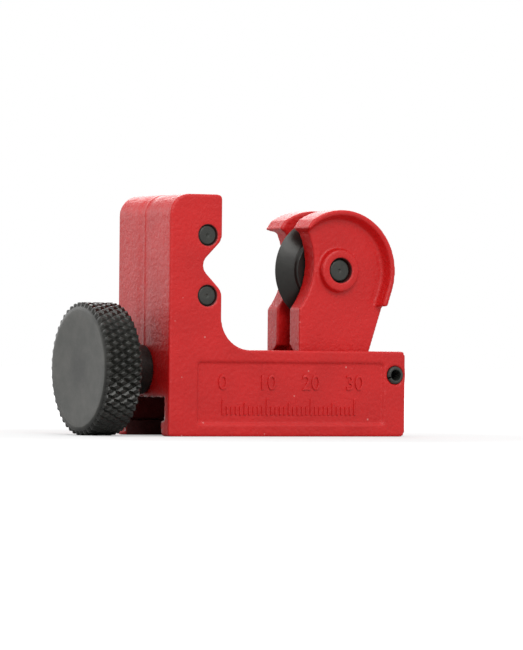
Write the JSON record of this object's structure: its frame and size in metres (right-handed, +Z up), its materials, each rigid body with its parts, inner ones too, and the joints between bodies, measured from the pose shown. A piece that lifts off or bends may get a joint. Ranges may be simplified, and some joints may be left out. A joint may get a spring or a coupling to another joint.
{
  "type": "pipe cutter",
  "caption": "Compact tube cutter: an L-shaped cast frame with two rollers, a sliding fork with a cutting wheel, and a knurled knob on a feed screw.",
  "frame": {"origin": "middle of the whole cutter's footprint, on the surface it stands on", "axes": "+X along the feed screw from the knob towards the arm's end, +Z up along the leg, Y across the body"},
  "size_m": [0.0682, 0.0264, 0.048],
  "materials": {
    "red_paint": "fine textured satin paint on die-cast zinc",
    "black_oxide": "blackened steel, satin",
    "wheel_steel": "blackened hardened steel, smooth",
    "pin_steel": "dark oiled steel"
  },
  "bodies": {
    "frame": {"frame": "red_paint", "stop_pin": "pin_steel", "upper_roller_pin": "pin_steel", "lower_roller_pin": "pin_steel"},
    "screw": {"feed_screw": "black_oxide", "knob": "black_oxide", "retaining_ring": "pin_steel"},
    "carriage": {"carriage": "red_paint", "wheel_pin": "pin_steel"},
    "wheel": {"cutting_wheel": "wheel_steel"},
    "upper_roller": {"upper_roller": "black_oxide"},
    "lower_roller": {"lower_roller": "black_oxide"}
  },
  "joints": [
    {"name": "knob_turn", "type": "hinge", "parent": "frame", "child": "screw", "pos_m": [-0.0197, 0, 0.0132], "axis": [1, 0, 0], "range_deg": [-1585, 6625]},
    {"name": "carriage_slide", "type": "slide", "parent": "frame", "child": "carriage", "axis": [1, 0, 0], "range_m": [-0.0184, 0.0044]},
    {"name": "wheel_spin", "type": "hinge", "parent": "carriage", "child": "wheel", "pos_m": [0.0206, 0, 0.03345], "axis": [0, 1, 0], "continuous": true},
    {"name": "upper_roller_spin", "type": "hinge", "parent": "frame", "child": "upper_roller", "pos_m": [-0.0113, 0, 0.0399], "axis": [0, 1, 0], "continuous": true},
    {"name": "lower_roller_spin", "type": "hinge", "parent": "frame", "child": "lower_roller", "pos_m": [-0.0113, 0, 0.0279], "axis": [0, 1, 0], "continuous": true}
  ],
  "couplings": [
    {"joint": "knob_turn", "follows": "carriage_slide", "rad_per_m": -6283.2}
  ]
}
